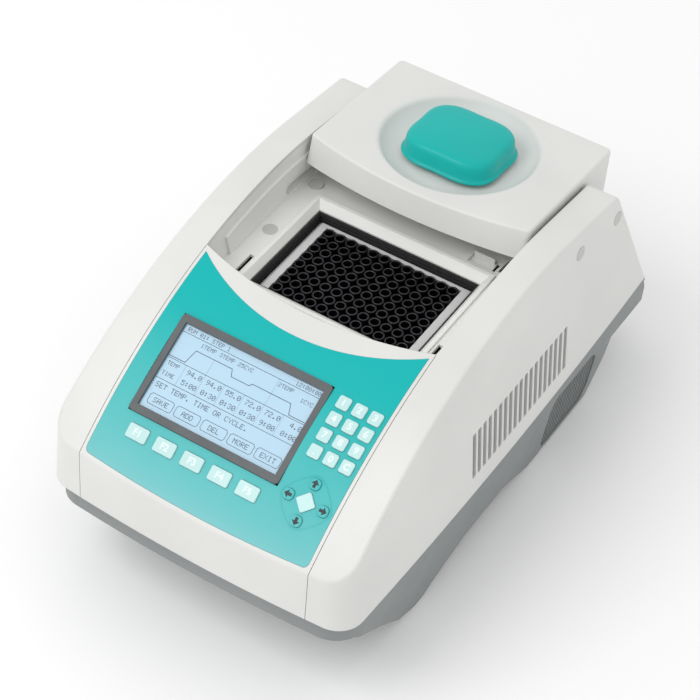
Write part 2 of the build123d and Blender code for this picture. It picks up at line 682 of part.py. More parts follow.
def lid_form(inset):
    """The closed lid's outer form, moved in by inset and then open below."""
    low = LID_FLOOR_Z - (3.0 if inset > 0 else 0.0)
    length = LID_LENGTH - inset
    rear = (LID_FRONT_Y + length * LID_COS, LID_FRONT_TOP_Z + length * LID_SIN)
    rear_top = (rear[0] + inset * LID_SIN, rear[1] - inset * LID_COS)
    drop = (rear[1] - low) / LID_COS
    rear_low = (rear[0] + drop * LID_SIN, low)
    front = LID_FRONT_Y - 1.0
    front_top = (front, LID_FRONT_TOP_Z - LID_SIN / LID_COS - inset / LID_COS)
    outline = make_face(Polyline((front, low), front_top, rear_top, rear_low, close=True))
    form = extrude(Plane.YZ * outline, LID_X - inset, both=True)
    return form & drum(LID_FRONT_Y + inset, LID_BOW_R - inset)


def bowl_cutter(grow):
    """The round bowl in the lid's top: a flat floor and a wall that curves up to its rim."""
    wall_r = ((BOWL_R - BOWL_FLOOR_R) ** 2 + BOWL_DEPTH ** 2) / (2 * BOWL_DEPTH)
    rim_angle = math.degrees(math.asin((BOWL_R - BOWL_FLOOR_R) / wall_r))

    def on_wall(angle):
        a = math.radians(angle)
        radius = wall_r + grow
        return (BOWL_FLOOR_R + radius * math.sin(a), wall_r - BOWL_DEPTH - radius * math.cos(a))

    floor = -BOWL_DEPTH - grow
    edges = [
        Line((0, floor), on_wall(0)),
        ThreePointArc(on_wall(0), on_wall(rim_angle / 2), on_wall(rim_angle)),
        Polyline(on_wall(rim_angle), (on_wall(rim_angle)[0], 40), (0, 40), (0, floor)),
    ]
    return BOWL_PLANE * revolve(Plane.XZ * make_face(edges), Axis.Z)


def make_lid_cover():
    """White lid shell with the bowl that the knob sits in."""
    outer = lid_form(0)
    upright = outer.edges().filter_by(lambda e: abs(e.tangent_at(0.5).Z) > 0.9)
    outer = fillet(upright, LID_CORNER_R)
    top = outer.faces().sort_by(lambda f: f.normal_at().dot(Vector(0, -LID_SIN, LID_COS)))[-1]
    outer = fillet(top.edges(), 1.8)
    outer = outer - bowl_cutter(0)
    rim = outer.edges().filter_by(lambda e: e.geom_type == GeomType.CIRCLE
                                  and abs(e.length - 2 * math.pi * BOWL_R) < 1)
    outer = fillet(rim, BOWL_RIM_FILLET)
    inner = lid_form(LID_WALL) - bowl_cutter(LID_WALL)
    return outer - inner - BOWL_PLANE * Cylinder(NUT_R + 0.4, 60)


def make_lid_base():
    """Lid floor with the heated plate's opening and two ears that carry the guide shoes."""
    low, high = LID_FLOOR_Z, LID_FLOOR_Z + 2.5
    floor = lid_form(LID_WALL + 0.3) & block(-100, 100, -100, 100, low, high)
    floor = floor - Pos(0, BLOCK_Y, low) * Box(PLATE_SIZE[0] + 4, PLATE_SIZE[1] + 4, 20)
    for side in (-1, 1):
        inner = sorted((side * 80.0, side * 83.4))
        outer = sorted((side * 83.0, side * 86.2))
        floor = floor + bar(322.8, 334.0, 1.4, 3.6, *inner) + bar(322.8, 327.4, 1.4, 3.6, *outer)
    return floor


def make_guide_shoes():
    """Two arc-shaped sliders with round ends, one in each rail's slot."""
    shoes = []
    radius = (SLOT_IN_R + SLOT_OUT_R) / 2
    half = (SLOT_OUT_R - SLOT_IN_R) / 2 - 0.35
    for side in (-1, 1):
        span = sorted((side * 86.8, side * 91.2))
        stub = sorted((side * 86.2, side * 87.0))
        shoe = bar(radius - half, radius + half, SHOE_FRONT, SHOE_REAR, *span)
        for angle in (SHOE_FRONT, SHOE_REAR):
            shoe = shoe + Pos(at(radius, angle, side * 89.0)) * Rot(0, 90, 0) * Cylinder(half, 4.4)
        shoes.append(shoe + bar(323.2, 327.2, 1.6, 3.4, *stub))
    return Compound(children=shoes)


def knob_outline(scale):
    """Four soft lobes at the diagonals with slightly hollow sides between them."""
    points = []
    for i in range(16):
        turn = math.radians(22.5 * i)
        radius = (KNOB_R + KNOB_LOBE * math.cos(4 * (turn - math.pi / 4))) * scale
        points.append((radius * math.cos(turn), KNOB_SQUASH * radius * math.sin(turn)))
    return make_face(Spline(*points, periodic=True))


def make_knob():
    """Teal knob: lobed cap, hollow underneath, over the nut."""
    cap = loft([Pos(0, 0, KNOB_LOW + 3.0) * knob_outline(1.0), Pos(0, 0, KNOB_TOP) * knob_outline(0.95)])
    skirt = loft([Pos(0, 0, KNOB_LOW) * knob_outline(1.06), Pos(0, 0, KNOB_LOW + 3.4) * knob_outline(0.998)])
    cap = fillet(cap.faces().sort_by(Axis.Z)[-1].edges(), 3.0)
    knob = cap + skirt - extrude(Pos(0, 0, KNOB_LOW - 1) * knob_outline(0.86), KNOB_TOP - KNOB_LOW - 2.2)
    standing = (Align.CENTER, Align.CENTER, Align.MIN)
    hub = Pos(0, 0, KNOB_LOW + 1) * Cylinder(13, KNOB_TOP - KNOB_LOW - 2.0, align=standing)
    bore = Pos(0, 0, KNOB_LOW - 1) * Cylinder(NUT_R + 0.05, NUT_TOP + 0.1 - KNOB_LOW + 1, align=standing)
    return BOWL_PLANE * (knob + hub - bore)


def make_knob_nut():
    """Nut fixed in the knob that turns in the lid and drives the screw."""
    standing = (Align.CENTER, Align.CENTER, Align.MIN)
    nut = Pos(0, 0, NUT_LOW) * Cylinder(NUT_R, NUT_TOP - NUT_LOW, align=standing)
    collar = Pos(0, 0, NUT_LOW) * Cylinder(NUT_R + 3, 2.4, align=standing)
    bore = Pos(0, 0, -20) * Cylinder(SCREW_R + 0.06, 25.5, align=standing)
    return BOWL_PLANE * (nut + collar - bore)


def make_pressure_screw():
    """Keyed screw that the nut moves down, with a round tip."""
    rod = Pos(0, 0, -16.0) * Cylinder(SCREW_R, 20.5, align=(Align.CENTER, Align.CENTER, Align.MIN))
    tip = Pos(0, 0, -16.0) * Sphere(SCREW_R)
    return BOWL_PLANE * (rod + tip)


def spring(radius, wire, height, turns):
    """A coil spring that stands on Z = 0."""
    path = Helix(pitch=(height - 2 * wire) / turns, height=height - 2 * wire, radius=radius)
    section = Plane(path @ 0, z_dir=path % 0) * Circle(wire)
    return Pos(0, 0, wire) * sweep(section, path=path)


def make_heated_plate():
    """Heated plate on four springs under its carrier, which the screw pushes."""
    width, depth = PLATE_SIZE
    plate = Pos(0, BLOCK_Y, PLATE_LOW_Z + 3) * rounded_plate(width, depth, 6.0, 3)
    parts["heated_plate"] = swung(plate)
    springs = [Pos(x, BLOCK_Y + y, PLATE_LOW_Z + 6) * spring(3.4, 0.45, 5.0, 4)
               for x in (-40, 40) for y in (-26, 26)]
    parts["pressure_springs"] = swung(Compound(children=springs))
    carrier = Pos(0, BLOCK_Y, PLATE_LOW_Z + 12) * rounded_plate(100, 66, 2.0, 4)
    carrier = carrier + Pos(0, BLOCK_Y, PLATE_LOW_Z + 14) * Cylinder(8.0, 2.1)
    for x in (-30, 30):
        carrier = carrier + Pos(x, BLOCK_Y, PLATE_LOW_Z + 8.7) * Cylinder(2.5, 5.2)
    parts["plate_carrier"] = swung(carrier)


def make_plugs():
    """Round plugs that cover screws: two in each side wall and three in the deck."""
    plugs = [side_plug(y, z, side, PLUG_R, 1.3) for side in (-1, 1) for y, z in SIDE_PLUGS]
    plugs += [Pos(x, y, DECK_TOP - 0.5) * Cylinder(PLUG_R, 1.3) for x, y in DECK_PLUGS]
    return Compound(children=plugs)


def make_lid_catch():
    """Bent spring tab that stands in a slot of the deck behind the bezel."""
    x, y = CATCH
    foot = block(x - 9, x + 9, y - 4, y + 4.5, DECK_TOP - 4.4, DECK_TOP - 3.4)
    tab = block(x - 8, x + 8, y + 2.5, y + 3.5, DECK_TOP - 4.0, DECK_TOP + 1.8)
    return foot + tab


def make_main_board():
    """Control board with a few parts on it, on four posts."""
    z = ARCH_FLOOR_TOP + 11
    board = Pos(0, BLOCK_Y, z) * Box(112, 76, 1.6)
    chips = [(-30, 12, 20, 20, 3), (8, 18, 14, 10, 2.4), (30, -10, 16, 16, 8), (-20, -22, 30, 8, 9),
             (38, 22, 12, 12, 12)]
    for x, y, width, depth, tall in chips:
        board = board + Pos(x, BLOCK_Y + y, z + 0.8 + tall / 2) * Box(width, depth, tall)
    for x in (-50, 50):
        for y in (-33, 33):
            board = board + Pos(x, BLOCK_Y + y, z - 5.5) * Cylinder(2.5, 11)
    return board


def make_power_supply():
    """Boxed mains power supply on the base pan's rear floor."""
    low = FEET_Z + BASE_FLOOR_THICK
    case = block(-92, 12, 60, 126, low, low + 38)
    for i in range(9):
        case = case - block(-84 + 10.5 * i, -79 + 10.5 * i, 59, 62, low + 6, low + 32)
    return case


def make_screws():
    """Pan-head screws of the rear panel and of the base pan."""
    screws = []
    for u in (-84, 84):
        for v in (-17, 17):
            cross = Pos(0, 0, 0.7) * (Box(3.4, 0.7, 1) + Box(0.7, 3.4, 1))
            head = Cylinder(2.8, 1.8) - cross
            screws.append(on_rear(u, v, -0.7, head))
    for x in (-60, 0, 60):
        for y in (-36, 4):
            head = Cylinder(3.2, 1.6) - Pos(0, 0, -0.6) * Box(4, 0.8, 1)
            screws.append(Pos(x, y, ARCH_FLOOR - 0.8) * head)
    return screws


def build():
    """Makes every piece under its own name."""
    parts["upper_casing"] = make_casing()
    parts["front_panel"] = make_front_panel()
    parts["panel_overlay"] = make_overlay()
    make_display()
    for key in all_keys():
        parts[key[0]] = key_cap(*key)
    parts["inner_deck"] = make_deck() & casing_form(WALL + 0.2)
    parts["lid_tracks"] = make_tracks()
    parts["well_bezel"] = make_bezel()
    parts["gasket"] = make_gasket()
    parts["block_frame"] = make_block_frame()
    parts["sample_block"] = make_sample_block()
    parts["peltier_modules"] = make_peltiers()
    parts["heat_sink"] = make_heat_sink()
    parts["base_pan"] = make_base_pan()
    parts["side_grilles"] = make_grilles()
    parts["rubber_feet"] = make_feet()
    parts["rear_panel"] = make_rear_panel()
    parts["power_inlet"] = make_power_inlet()
    parts["fuse_drawer"] = make_fuse_drawer()
    parts["power_switch"] = make_rocker()
    parts["data_port"] = make_data_port()
    make_fan()
    parts["lid_cover"] = swung(make_lid_cover())
    parts["lid_base"] = swung(make_lid_base())
    parts["guide_shoes"] = swung(make_guide_shoes())
    parts["lid_knob"] = swung(make_knob())
    parts["knob_nut"] = swung(make_knob_nut())
    parts["pressure_screw"] = swung(make_pressure_screw())
    make_heated_plate()
    parts["hole_plugs"] = make_plugs()
    parts["lid_catch"] = make_lid_catch()
    parts["main_board"] = make_main_board()
    parts["power_supply"] = make_power_supply()
    parts["screws_and_posts"] = Compound(children=make_screws() + make_standoffs())


build()
os.makedirs("parts", exist_ok=True)
for name, shape in parts.items():
    export_step(shape, "parts/" + name + ".step")
print(len(parts), "pieces")
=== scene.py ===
"""Looks for the bench thermal cycler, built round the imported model.

Lengths are metres unless a name ends in _MM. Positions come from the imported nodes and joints:
the arc's centre from the lid's joint, each key's face from its own joint, the knob from its joint.
"""
import json
import math

import bmesh
import bpy
from mathutils import Matrix, Vector

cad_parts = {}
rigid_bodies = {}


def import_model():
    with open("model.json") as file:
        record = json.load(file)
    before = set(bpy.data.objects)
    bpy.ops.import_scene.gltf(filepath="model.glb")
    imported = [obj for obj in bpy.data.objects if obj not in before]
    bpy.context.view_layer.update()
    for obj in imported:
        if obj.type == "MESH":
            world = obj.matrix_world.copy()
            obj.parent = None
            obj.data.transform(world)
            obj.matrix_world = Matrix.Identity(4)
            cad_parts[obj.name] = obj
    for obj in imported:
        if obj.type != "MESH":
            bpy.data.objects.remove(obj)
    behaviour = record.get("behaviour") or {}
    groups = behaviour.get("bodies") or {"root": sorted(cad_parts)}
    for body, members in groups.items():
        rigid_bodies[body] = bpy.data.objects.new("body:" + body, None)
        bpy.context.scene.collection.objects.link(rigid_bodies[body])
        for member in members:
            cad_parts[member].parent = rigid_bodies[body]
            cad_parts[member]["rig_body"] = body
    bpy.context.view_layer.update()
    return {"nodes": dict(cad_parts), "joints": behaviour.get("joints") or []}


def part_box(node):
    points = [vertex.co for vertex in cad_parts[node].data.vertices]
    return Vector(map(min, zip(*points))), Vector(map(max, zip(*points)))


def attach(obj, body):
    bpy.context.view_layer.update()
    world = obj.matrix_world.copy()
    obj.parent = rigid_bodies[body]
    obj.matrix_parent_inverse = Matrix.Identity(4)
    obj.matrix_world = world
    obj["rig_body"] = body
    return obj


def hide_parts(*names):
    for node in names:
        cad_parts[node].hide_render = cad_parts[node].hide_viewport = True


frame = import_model()
NODES = frame["nodes"]
JOINTS = {joint["name"]: joint for joint in frame["joints"]}
MM = 0.001


# ---------------------------------------------------------------- places

def middle_of(node):
    """The centre of a node's box."""
    low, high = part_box(node)
    return (low + high) / 2


def facing(origin, normal, right=(1, 0, 0)):
    """A matrix with local z along a normal and local x as near to right as it can be."""
    z = Vector(normal).normalized()
    x = Vector(right)
    x = (x - z * x.dot(z)).normalized()
    place = Matrix((x, z.cross(x), z)).transposed().to_4x4()
    place.translation = origin
    return place


ARC = Vector(JOINTS["lid_travel"]["pos_m"])
KNOB_PLACE = facing(JOINTS["knob_turn"]["pos_m"], -Vector(JOINTS["knob_turn"]["axis"]))


def on_arc(point):
    """The unit vector from the arc's axis out to a point."""
    out = Vector(point) - ARC
    out.x = 0
    return out.normalized()


def key_place(key):
    """The middle of a key's top face, looking out of the panel."""
    normal = -Vector(JOINTS[key + "_press"]["axis"])
    low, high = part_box(key)
    corners = [v.co.dot(normal) for v in NODES[key].data.vertices]
    origin = (low + high) / 2
    origin += normal * (max(corners) - origin.dot(normal))
    return facing(origin, normal)


def screen_place():
    """The middle of the display's visible face."""
    middle = middle_of("display_screen")
    normal = on_arc(middle)
    top = max(v.co.dot(normal) for v in NODES["display_screen"].data.vertices)
    return facing(middle + normal * (top - middle.dot(normal)), normal)


# ---------------------------------------------------------------- materials

def node_material(name):
    """An empty node material and its shader."""
    material = bpy.data.materials.new(name)
    material.use_nodes = True
    tree = material.node_tree
    return material, tree, tree.nodes["Principled BSDF"]


def add(tree, kind, **inputs):
    """A node with some of its inputs set, by input name."""
    node = tree.nodes.new(kind)
    for name, value in inputs.items():
        node.inputs[name.replace("_", " ")].default_value = value
    return node


def noise(tree, vector, scale, detail=2.0, rough=0.5):
    """A noise texture on the given coordinates."""
    node = add(tree, "ShaderNodeTexNoise", Scale=scale, Detail=detail, Roughness=rough)
    tree.links.new(vector, node.inputs["Vector"])
    return node.outputs["Fac"]


def spread(tree, value, low, high, to_low, to_high):
    """Maps a value from one range to another, held at its ends."""
    node = add(tree, "ShaderNodeMapRange", From_Min=low, From_Max=high, To_Min=to_low, To_Max=to_high)
    tree.links.new(value, node.inputs["Value"])
    return node.outputs["Result"]


def mixed(tree, factor, first, second):
    """A colour between two, by a factor. Each is a colour or another node's output."""
    node = tree.nodes.new("ShaderNodeMix")
    node.data_type = "RGBA"
    tree.links.new(factor, node.inputs["Factor"])
    for socket, colour in ((node.inputs[6], first), (node.inputs[7], second)):
        if isinstance(colour, bpy.types.NodeSocket):
            tree.links.new(colour, socket)
        else:
            socket.default_value = (*colour, 1.0)
    return node.outputs[2]


def maths(tree, operation, first, second=None):
    """A math node on outputs or numbers."""
    node = tree.nodes.new("ShaderNodeMath")
    node.operation = operation
    for socket, value in zip(node.inputs, (first, second)):
        if isinstance(value, bpy.types.NodeSocket):
            tree.links.new(value, socket)
        elif value is not None:
            socket.default_value = value
    return node.outputs[0]


def object_space(tree):
    """The piece's own coordinates, in metres."""
    return tree.nodes.new("ShaderNodeTexCoord").outputs["Object"]


def relief(tree, shader, height, strength, depth, edge=0.0):
    """Bumps the shader's normal by a height, over softened edges where edge is a radius."""
    bump = add(tree, "ShaderNodeBump", Strength=strength, Distance=depth)
    tree.links.new(height, bump.inputs["Height"])
    if edge:
        bevel = add(tree, "ShaderNodeBevel", Radius=edge)
        bevel.samples = 4
        tree.links.new(bevel.outputs["Normal"], bump.inputs["Normal"])
    tree.links.new(bump.outputs["Normal"], shader.inputs["Normal"])


def tinted(colour, amount):
    """A colour made lighter or darker by a share."""
    return tuple(min(1.0, c * (1 + amount)) for c in colour)


def moulded(name, colour, rough=0.42, grain=2200, bump=0.12, edge=0.0004, vary=0.035, shine=0.5):
    """Moulded plastic: fine grain, slow drift of shade, faint smears in its gloss."""
    material, tree, shader = node_material(name)
    shader.inputs["Specular IOR Level"].default_value = shine
    space = object_space(tree)
    drift = spread(tree, noise(tree, space, 14, 3), 0.3, 0.7, 0, 1)
    tone = mixed(tree, drift, tinted(colour, -vary), tinted(colour, vary))
    tree.links.new(tone, shader.inputs["Base Color"])
    smear = spread(tree, noise(tree, space, 55, 4, 0.6), 0.3, 0.7, rough - 0.05, rough + 0.07)
    tree.links.new(smear, shader.inputs["Roughness"])
    relief(tree, shader, noise(tree, space, grain, 3, 0.6), bump, 0.00012, edge)
    return material


def metal(name, colour, rough=0.32, along=(1, 1, 1), grain=900, edge=0.0002):
    """Metal with a fine finish, drawn out along an axis where its scale there is small."""
    material, tree, shader = node_material(name)
    mapping = tree.nodes.new("ShaderNodeMapping")
    mapping.inputs["Scale"].default_value = along
    tree.links.new(object_space(tree), mapping.inputs["Vector"])
    space = mapping.outputs["Vector"]
    drift = spread(tree, noise(tree, space, 60, 3), 0.3, 0.7, 0, 1)
    tone = mixed(tree, drift, tinted(colour, -0.12), tinted(colour, 0.08))
    tree.links.new(tone, shader.inputs["Base Color"])
    shader.inputs["Metallic"].default_value = 1.0
    streak = noise(tree, space, grain, 4, 0.65)
    tree.links.new(spread(tree, streak, 0.3, 0.7, rough - 0.1, rough + 0.12), shader.inputs["Roughness"])
    relief(tree, shader, streak, 0.12, 0.00008, edge)
    return material


def rubber(name, colour=(0.012, 0.012, 0.013)):
    """Matte rubber with dust in its grain."""
    material, tree, shader = node_material(name)
    space = object_space(tree)
    dust = spread(tree, noise(tree, space, 320, 5, 0.7), 0.45, 0.8, 0, 1)
    tree.links.new(mixed(tree, dust, colour, tinted(colour, 1.2)), shader.inputs["Base Color"])
    shader.inputs["Roughness"].default_value = 0.62
    relief(tree, shader, noise(tree, space, 1500, 3), 0.2, 0.0001, 0.0002)
    return material


def circuit(name):
    """Green board with copper lanes under its mask."""
    material, tree, shader = node_material(name)
    space = object_space(tree)
    lanes = add(tree, "ShaderNodeTexBrick", Scale=160.0, Mortar_Size=0.03)
    tree.links.new(space, lanes.inputs["Vector"])
    green = mixed(tree, noise(tree, space, 40, 3), (0.006, 0.10, 0.035), (0.012, 0.17, 0.06))
    tree.links.new(mixed(tree, lanes.outputs["Fac"], green, (0.05, 0.26, 0.10)), shader.inputs["Base Color"])
    shader.inputs["Roughness"].default_value = 0.3
    relief(tree, shader, lanes.outputs["Fac"], 0.2, 0.0001)
    return material


def overlay_film(name):
    """The film over the panel: deep teal at its top by the cavity, paler toward its bottom at the front edge,
    by height.
    """
    low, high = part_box("panel_overlay")
    material, tree, shader = node_material(name)
    space = object_space(tree)
    split = tree.nodes.new("ShaderNodeSeparateXYZ")
    tree.links.new(space, split.inputs["Vector"])
    height = spread(tree, split.outputs["Z"], low.z, high.z - 0.012, 0, 1)
    # colour by height: deep teal at the top, paler toward the bottom
    height_tone = mixed(tree, maths(tree, "POWER", height, 0.45), FILM_FRONT, FILM_REAR)
    speck = spread(tree, noise(tree, space, 1800, 3), 0.35, 0.7, 0, 0.04)
    tree.links.new(mixed(tree, speck, height_tone, FILM_SPECK), shader.inputs["Base Color"])
    shader.inputs["Specular IOR Level"].default_value = 0.2
    tree.links.new(spread(tree, noise(tree, space, 45, 3), 0.3, 0.7, 0.30, 0.42), shader.inputs["Roughness"])
    relief(tree, shader, noise(tree, space, 3000, 2), 0.08, 0.00006)
    return material


def screen_glass(name):
    """The LCD's face: pale blue, a fine pixel grid and a slow drift of shade."""
    material, tree, shader = node_material(name)
    mapping = tree.nodes.new("ShaderNodeMapping")
    mapping.inputs["Rotation"].default_value = (-SCREEN.to_euler().x, 0, 0)
    tree.links.new(object_space(tree), mapping.inputs["Vector"])
    split = tree.nodes.new("ShaderNodeSeparateXYZ")
    tree.links.new(mapping.outputs["Vector"], split.inputs["Vector"])
    lines = []
    for axis in "XY":
        phase = maths(tree, "FRACT", maths(tree, "MULTIPLY", split.outputs[axis], 1 / LCD_PIXEL))
        lines.append(maths(tree, "LESS_THAN", phase, 0.14))
    grid = maths(tree, "MULTIPLY", maths(tree, "MAXIMUM", *lines), 0.35)
    drift = spread(tree, noise(tree, mapping.outputs["Vector"], 9, 2), 0.3, 0.7, 0, 1)
    face = mixed(tree, drift, (0.30, 0.50, 0.66), (0.37, 0.57, 0.71))
    tree.links.new(mixed(tree, grid, face, (0.22, 0.40, 0.54)), shader.inputs["Base Color"])
    tree.links.new(spread(tree, drift, 0, 1, 0.18, 0.26), shader.inputs["Roughness"])
    shader.inputs["Coat Weight"].default_value = 0.3
    return material


def ink(name, colour, rough=0.5):
    """Printed or painted marks: slightly uneven in shade and gloss."""
    material, tree, shader = node_material(name)
    patch = spread(tree, noise(tree, object_space(tree), 700, 3), 0.3, 0.7, 0, 1)
    tone = mixed(tree, patch, tinted(colour, -0.1), tinted(colour, 0.12))
    tree.links.new(tone, shader.inputs["Base Color"])
    tree.links.new(spread(tree, patch, 0, 1, rough - 0.06, rough + 0.06), shader.inputs["Roughness"])
    return material


WHITE = (0.70, 0.70, 0.68)
BASE_GREY = (0.235, 0.25, 0.25)
FILM_REAR = (0.0, 0.44, 0.43)
FILM_FRONT = (0.24, 0.56, 0.58)
FILM_SPECK = (0.20, 0.60, 0.60)
TEAL = (0.0, 0.42, 0.39)
AQUA = (0.50, 0.74, 0.73)
LCD_PIXEL = 0.0004
SCREEN = screen_place()

FINISHES = {
    "shell_white": moulded("shell_white", WHITE),
    # painted light: the shell's white made 14% lighter on the deck and other inner parts, to lift the shade
    # that falls in the cavity
    "inner_white_painted_light": moulded("inner_white_painted_light", tinted(WHITE, 0.14), rough=0.5),
    "plug_grey": moulded("plug_grey", (0.54, 0.54, 0.52), rough=0.5),
    "base_grey": moulded("base_grey", BASE_GREY, rough=0.5, bump=0.2),
    "frame_grey": moulded("frame_grey", (0.60, 0.61, 0.60), rough=0.38),
    "bezel_dark": moulded("bezel_dark", (0.085, 0.095, 0.10), rough=0.45, vary=0.08),
    "black_plastic": moulded("black_plastic", (0.014, 0.014, 0.016), rough=0.35, vary=0.2),
    "knob_teal": moulded("knob_teal", TEAL, rough=0.34, bump=0.10, edge=0, vary=0.05, shine=0.3),
    "key_aqua": moulded("key_aqua", AQUA, rough=0.4, vary=0.05),
    "lip_anodised": metal("lip_anodised", (0.10, 0.10, 0.11), rough=0.4, edge=0),
    "ceramic": moulded("ceramic", (0.78, 0.78, 0.74), rough=0.6),
    "rubber": rubber("rubber"),
    "black_anodised": metal("black_anodised", (0.035, 0.035, 0.038), rough=0.42, edge=0.0003),
    "extruded": metal("extruded", (0.62, 0.63, 0.64), rough=0.36, along=(1, 0.05, 1)),
    "milled": metal("milled", (0.66, 0.67, 0.68), rough=0.28, along=(0.06, 1, 1)),
    "steel": metal("steel", (0.55, 0.56, 0.57), rough=0.3, along=(1, 1, 0.08)),
    "brass": metal("brass", (0.62, 0.43, 0.17), rough=0.3),
    "board": circuit("board"),
    "film": overlay_film("film"),
    "screen": screen_glass("screen"),
    "lcd_ink": ink("lcd_ink", (0.012, 0.03, 0.075), rough=0.35),
    "arrow_ink": ink("arrow_ink", (0.012, 0.022, 0.03)),
    "legend_white": ink("legend_white", (0.78, 0.90, 0.89)),
    "panel_paint": moulded("panel_paint", (0.27, 0.285, 0.285), rough=0.48, grain=1400, bump=0.3),
    "mesh_grey": moulded("mesh_grey", (0.22, 0.235, 0.235), rough=0.45),
}

NODE_FINISHES = {
    "shell_white": ["upper_casing", "front_panel", "lid_cover"],
    "inner_white_painted_light": ["inner_deck", "lid_tracks", "well_bezel", "lid_base", "lid_catch"],
    "plug_grey": ["hole_plugs"],
    "base_grey": ["base_pan"],
    "frame_grey": ["block_frame"],
    "bezel_dark": ["display_bezel"],
    "black_plastic": ["power_inlet", "fuse_drawer", "power_switch", "fan_housing", "fan_rotor",
                      "guide_shoes"],
    "key_aqua": [name for name in NODES if name.startswith(("soft_key_", "key_"))],
    "ceramic": ["peltier_modules"],
    "rubber": ["gasket", "rubber_feet"],
    "black_anodised": ["sample_block"],
    "extruded": ["heat_sink", "power_supply"],
    "milled": ["heated_plate"],
    "steel": ["pressure_screw", "pressure_springs", "plate_carrier", "screws_and_posts", "data_port"],
    "brass": ["knob_nut"],
    "board": ["panel_boards", "main_board"],
    "film": ["panel_overlay", "key_up", "key_down", "key_left", "key_right"],
    "screen": ["display_screen"],
    "panel_paint": ["rear_panel"],
    "mesh_grey": ["side_grilles"],
    "knob_teal": ["lid_knob"],
}


def finish_nodes():
    """Gives every CAD node its material."""
    for finish, names in NODE_FINISHES.items():
        for name in names:
            data = NODES[name].data
            data.materials.clear()
            data.materials.append(FINISHES[finish])


# ---------------------------------------------------------------- pieces

def piece(name, points, faces, place, finish, body, smooth=False):
    """A mesh in the shared frame that rides on a body."""
    data = bpy.data.meshes.new(name)
    data.from_pydata([place @ Vector(p) for p in points], [], faces)
    data.materials.append(FINISHES[finish])
    if smooth:
        data.polygons.foreach_set("use_smooth", [True] * len(data.polygons))
    data.update()
    made = bpy.data.objects.new(name, data)
    bpy.context.scene.collection.objects.link(made)
    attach(made, body)
    return made


def body_of(node):
    """The body that a CAD node rides on."""
    return NODES[node]["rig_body"]


def applied(made):
    """Bakes a piece's modifiers into its mesh."""
    depsgraph = bpy.context.evaluated_depsgraph_get()
    data = bpy.data.meshes.new_from_object(made.evaluated_get(depsgraph))
    made.modifiers.clear()
    made.data = data
    return made


def lathe_faces(rings, count, close_first=False, close_last=False):
    """Quads between rings of points, with fans or caps at the ends."""
    faces = []
    for r in range(rings - 1):
        for i in range(count):
            j = (i + 1) % count
            faces.append((r * count + i, r * count + j, (r + 1) * count + j, (r + 1) * count + i))
    if close_first:
        faces.append(tuple(reversed(range(count))))
    if close_last:
        faces.append(tuple(range((rings - 1) * count, rings * count)))
    return faces


# Knob: rings of one lobed outline, each at a share of its size and a height, in millimetres.
KNOB_R_MM = 37.3
KNOB_LOBE_MM = 3.0
KNOB_SQUASH = 0.88
KNOB_RINGS = [
    (0.90, -6.6, 1.0), (1.035, -6.6, 1.0), (1.055, -6.2, 1.0), (1.058, -5.6, 1.0), (1.045, -4.9, 1.0),
    (1.02, -4.3, 1.0), (1.005, -3.4, 1.0), (0.998, -1.5, 1.0), (0.99, 1.5, 1.0), (0.98, 4.2, 1.0),
    (0.965, 5.9, 1.0), (0.94, 7.2, 1.0), (0.905, 8.0, 1.0), (0.85, 8.5, 0.95), (0.78, 8.8, 0.9),
    (0.62, 9.2, 0.8), (0.42, 9.5, 0.5), (0.2, 9.65, 0.3), (0.04, 9.7, 0.1),
]
KNOB_SIDES = 144


def make_knob():
    """The lobed knob as one smooth domed form, closed underneath by its rim."""
    points = []
    for share, height, lobe in KNOB_RINGS:
        for i in range(KNOB_SIDES):
            turn = 2 * math.pi * i / KNOB_SIDES
            wave = math.cos(4 * (turn - math.pi / 4))
            radius = (KNOB_R_MM + KNOB_LOBE_MM * lobe * wave) * share * MM
            points.append((radius * math.cos(turn), KNOB_SQUASH * radius * math.sin(turn), height * MM))
    faces = lathe_faces(len(KNOB_RINGS), KNOB_SIDES, close_first=True, close_last=True)
    made = piece("knob_cap", points, faces, KNOB_PLACE, "knob_teal", "knob", smooth=True)
    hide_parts("lid_knob")


# Wells
WELL_PITCH = 0.009
WELL_COLUMNS, WELL_ROWS = 12, 8
RIM_PROFILE_MM = [(3.03, -0.6), (3.06, 0.04), (3.15, 0.18), (3.3, 0.22), (3.45, 0.16), (3.54, -0.02),
                  (3.55, -0.3)]
RIM_SIDES = 28


def make_well_rims():
    """A rounded lip round each well's mouth."""
    low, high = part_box("sample_block")
    place = Matrix.Translation(((low.x + high.x) / 2, (low.y + high.y) / 2, high.z))
    points, faces = [], []
    for column in range(WELL_COLUMNS):
        for row in range(WELL_ROWS):
            x = (column - (WELL_COLUMNS - 1) / 2) * WELL_PITCH
            y = (row - (WELL_ROWS - 1) / 2) * WELL_PITCH
            start = len(points)
            for radius, height in RIM_PROFILE_MM:
                for i in range(RIM_SIDES):
                    turn = 2 * math.pi * i / RIM_SIDES
                    reach = Vector((math.cos(turn), math.sin(turn))) * radius * MM
                    points.append((x + reach.x, y + reach.y, height * MM))
            for face in lathe_faces(len(RIM_PROFILE_MM), RIM_SIDES):
                faces.append(tuple(reversed([start + index for index in face])))
    piece("well_lips", points, faces, place, "lip_anodised", body_of("sample_block"),
          smooth=True)


# Marks: flat shapes on a plane, each a list of (x, y) corners, in millimetres.
MARK_LIFT = 0.03


def marks(name, shapes, place, finish, node, lift=MARK_LIFT):
    """One mesh of thin flat shapes on a face."""
    points, faces = [], []
    for shape in shapes:
        faces.append(tuple(range(len(points), len(points) + len(shape))))
        points += [(x * MM, y * MM, lift * MM) for x, y in shape]
    return piece(name, points, faces, place, finish, body_of(node))


def box_shape(x0, y0, x1, y1):
    """A rectangle's corners."""
    return [(x0, y0), (x1, y0), (x1, y1), (x0, y1)]


